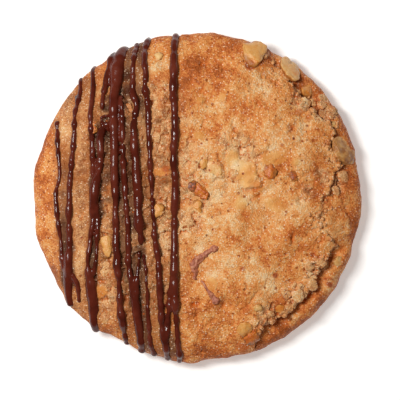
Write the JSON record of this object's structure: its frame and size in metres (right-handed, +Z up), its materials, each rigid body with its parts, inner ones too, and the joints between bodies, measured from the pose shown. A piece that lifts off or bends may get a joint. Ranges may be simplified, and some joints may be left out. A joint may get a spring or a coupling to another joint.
{
  "type": "florentine cookie",
  "caption": "Thick round baked cookie with chopped nuts in a crumbly domed crust and thin dark chocolate stripes down one half.",
  "frame": {"origin": "middle of the flat underside", "axes": "+Z up out of the crown, +Y along the chocolate stripes, +X towards the half without stripes"},
  "size_m": [0.0748, 0.0754, 0.0146],
  "materials": {
    "baked_crust": "dry baked dough, golden tan, crumbly and uneven, browner towards the edge",
    "chopped_nut": "toasted chopped nut, pale tan, slightly waxy",
    "nut_skin": "thin papery nut skin, reddish brown",
    "dark_chocolate": "set dark chocolate, satin to glossy"
  },
  "bodies": {
    "root": {"cookie": "baked_crust"}
  },
  "joints": []
}
